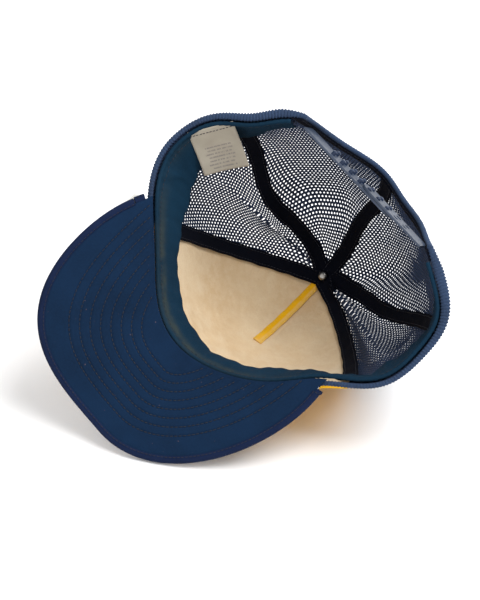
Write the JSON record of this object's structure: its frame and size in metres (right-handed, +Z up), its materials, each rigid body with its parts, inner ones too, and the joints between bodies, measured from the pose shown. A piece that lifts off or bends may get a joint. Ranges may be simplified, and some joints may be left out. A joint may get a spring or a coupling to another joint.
{
  "type": "trucker cap",
  "caption": "Mesh-backed cap lying upside down on its front: foam front, curved peak, cotton sweatband, care label and snap closure across the back arch.",
  "frame": {"origin": "centre of the bounding box at floor level, with the cap at rest upside down on its front", "axes": "+Z up from the floor the cap rests on, -Y the way the peak points along the floor, the crown opening facing up and towards +X and -Y"},
  "size_m": [0.1872, 0.25, 0.1812],
  "materials": {
    "cream_foam": "brushed nap",
    "gold_fabric": "woven",
    "navy_mesh": "open knit",
    "navy_cotton": "plain weave",
    "teal_cotton": "plain weave",
    "peak_board": "matt",
    "smoke_plastic": "translucent",
    "cream_satin": "satin",
    "nickel": "satin"
  },
  "bodies": {
    "cap": {"front_foam_lining": "cream_foam", "front_cover_fabric": "gold_fabric", "side_mesh_left": "navy_mesh", "side_mesh_right": "navy_mesh", "back_mesh_left": "navy_mesh", "back_mesh_right": "navy_mesh", "seam_tape_front_left": "navy_cotton", "seam_tape_front_right": "navy_cotton", "seam_tape_side_left": "navy_cotton", "seam_tape_side_right": "navy_cotton", "seam_tape_back": "navy_cotton", "front_dart_tape": "gold_fabric", "sweatband": "teal_cotton", "sweatband_edge_roll": "teal_cotton", "rim_hem_left": "navy_mesh", "rim_hem_right": "navy_mesh", "arch_binding": "navy_cotton", "brim_board": "peak_board", "brim_top_fabric": "navy_cotton", "brim_under_fabric": "navy_cotton", "brim_edge_binding": "navy_cotton", "crown_button": "navy_cotton", "button_rivet": "nickel"},
    "peg_strap": {"snap_strap_pegs": "smoke_plastic"},
    "hole_strap": {"snap_strap_holes": "smoke_plastic"},
    "label": {"care_label": "cream_satin"}
  },
  "joints": [
    {"name": "peg_strap_bend", "type": "hinge", "parent": "cap", "child": "peg_strap", "pos_m": [-0.02735, 0.05311, 0.17266], "axis": [-0.6294, 0.4892, -0.6038], "range_deg": [0, 50]},
    {"name": "hole_strap_bend", "type": "hinge", "parent": "cap", "child": "hole_strap", "pos_m": [0.05347, 0.09431, 0.1218], "axis": [-0.6294, 0.4892, -0.6038], "range_deg": [0, 50]},
    {"name": "label_flap", "type": "hinge", "parent": "cap", "child": "label", "pos_m": [-0.05909, 0.00399, 0.16428], "axis": [0.2762, 0.8671, 0.4146], "range_deg": [-40, 18]}
  ]
}
